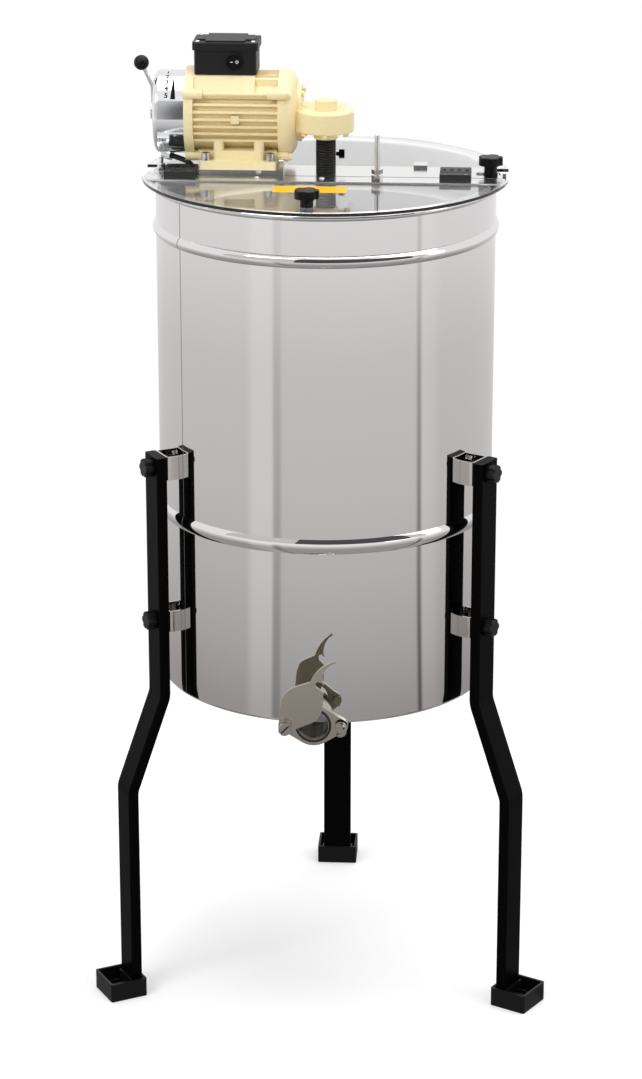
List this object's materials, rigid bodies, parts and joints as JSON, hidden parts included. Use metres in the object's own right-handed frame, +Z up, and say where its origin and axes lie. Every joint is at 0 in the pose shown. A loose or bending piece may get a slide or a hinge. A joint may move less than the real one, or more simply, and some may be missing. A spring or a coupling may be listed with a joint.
{
  "type": "radial honey extractor",
  "caption": "Radial honey extractor: polished drum on bent legs, with a honey gate, clear half lids, a crossbar carrying a worm drive motor, and a spinning frame basket inside.",
  "frame": {"origin": "on the floor under the drum's axis", "axes": "+Z up along the drum's axis, -Y towards the honey gate, X along the crossbar with the motor at -X"},
  "size_m": [0.621, 0.6354, 1.2973],
  "materials": {
    "stainless_mirror": "mirror polished",
    "stainless_satin": "satin",
    "gate_metal": "polished cast",
    "leg_black": "gloss",
    "black_plastic": "moulded",
    "black_rubber": "matte",
    "seal_rubber": "matte",
    "clear_acrylic": "clear",
    "motor_cream": "gloss paint",
    "chrome": "plated",
    "bright_steel": "zinc plated",
    "bronze": "machined"
  },
  "bodies": {
    "stand": {"bar_end_bolt": "stainless_satin", "bar_end_pad": "black_rubber", "bar_lugs": "stainless_satin", "bearing_ball": "bright_steel", "bearing_seat": "bright_steel", "case_bolts": "motor_cream", "control_lead": "black_rubber", "crossbar": "stainless_satin", "drive_bell": "motor_cream", "drum_floor": "stainless_mirror", "drum_wall": "stainless_mirror", "feet": "black_plastic", "foot_bolts": "bright_steel", "gate_body": "gate_metal", "gate_clamp_stud": "gate_metal", "gate_pivot_screw": "gate_metal", "gate_seal": "seal_rubber", "gear_cap": "motor_cream", "gear_housing": "motor_cream", "hinge_bar_leaves": "black_plastic", "hinge_pins": "bright_steel", "lead_gland": "black_rubber", "leg_bolt_caps": "black_plastic", "leg_bolts": "bright_steel", "leg_brackets": "stainless_mirror", "leg_left": "leg_black", "leg_rear": "leg_black", "leg_right": "leg_black", "motor_bearings": "bright_steel", "motor_housing": "motor_cream", "motor_plate": "stainless_satin", "outlet_pipe": "stainless_mirror", "rear_lid": "clear_acrylic", "rear_lid_clip": "stainless_satin", "shaft_sleeve": "black_rubber", "sleeve_screw": "bright_steel", "switch_bezel": "black_plastic", "terminal_box": "black_plastic", "terminal_box_lid": "black_plastic", "variator_cup": "chrome", "variator_shield": "motor_cream"},
    "basket": {"basket_shaft": "stainless_satin", "shaft_coupling": "stainless_satin", "output_shaft": "stainless_satin", "worm_wheel": "bronze", "basket_lower_wheel": "stainless_satin", "basket_upper_wheel": "stainless_satin", "basket_guides": "stainless_satin"},
    "rotor": {"rotor": "bright_steel"},
    "front_lid": {"front_lid_panel": "clear_acrylic", "lid_edge_strip": "stainless_satin", "lid_knob": "black_plastic", "lid_stop_rod": "stainless_satin", "hinge_lid_leaves": "black_plastic"},
    "gate_plate": {"gate_plate": "gate_metal"},
    "gate_nut": {"gate_clamp_nut": "gate_metal"},
    "bar_knob": {"bar_clamp_knob": "black_plastic"},
    "speed_lever": {"speed_lever": "stainless_satin", "lever_ball": "black_plastic"},
    "rocker": {"switch_rocker": "black_plastic"}
  },
  "joints": [
    {"name": "basket_spin", "type": "hinge", "parent": "stand", "child": "basket", "pos_m": [0, 0, 0.8], "axis": [0, 0, 1], "continuous": true},
    {"name": "rotor_spin", "type": "hinge", "parent": "stand", "child": "rotor", "pos_m": [-0.1, 0.028, 1.1983], "axis": [1, 0, 0], "continuous": true},
    {"name": "front_lid_hinge", "type": "hinge", "parent": "stand", "child": "front_lid", "pos_m": [0, -0.03375, 1.1309], "axis": [-1, 0, 0], "range_deg": [0, 90]},
    {"name": "gate_swing", "type": "hinge", "parent": "stand", "child": "gate_plate", "pos_m": [-0.0365, -0.27565, 0.4485], "axis": [0, -1, 0], "range_deg": [-53, 40]},
    {"name": "gate_nut_turn", "type": "hinge", "parent": "stand", "child": "gate_nut", "pos_m": [0.0365, -0.2853, 0.4485], "axis": [0, -1, 0], "continuous": true},
    {"name": "bar_knob_turn", "type": "hinge", "parent": "stand", "child": "bar_knob", "pos_m": [0.217, -0.008, 1.13], "axis": [0, 0, 1], "continuous": true},
    {"name": "speed_lever_turn", "type": "hinge", "parent": "stand", "child": "speed_lever", "pos_m": [-0.2304, 0.028, 1.1983], "axis": [1, 0, 0], "range_deg": [-40, 40]},
    {"name": "switch_rock", "type": "hinge", "parent": "stand", "child": "rocker", "pos_m": [-0.12, -0.0015, 1.2698], "axis": [0, 0, -1], "range_deg": [0, 16]}
  ],
  "couplings": [
    {"joint": "rotor_spin", "follows": "basket_spin", "ratio": 5}
  ]
}
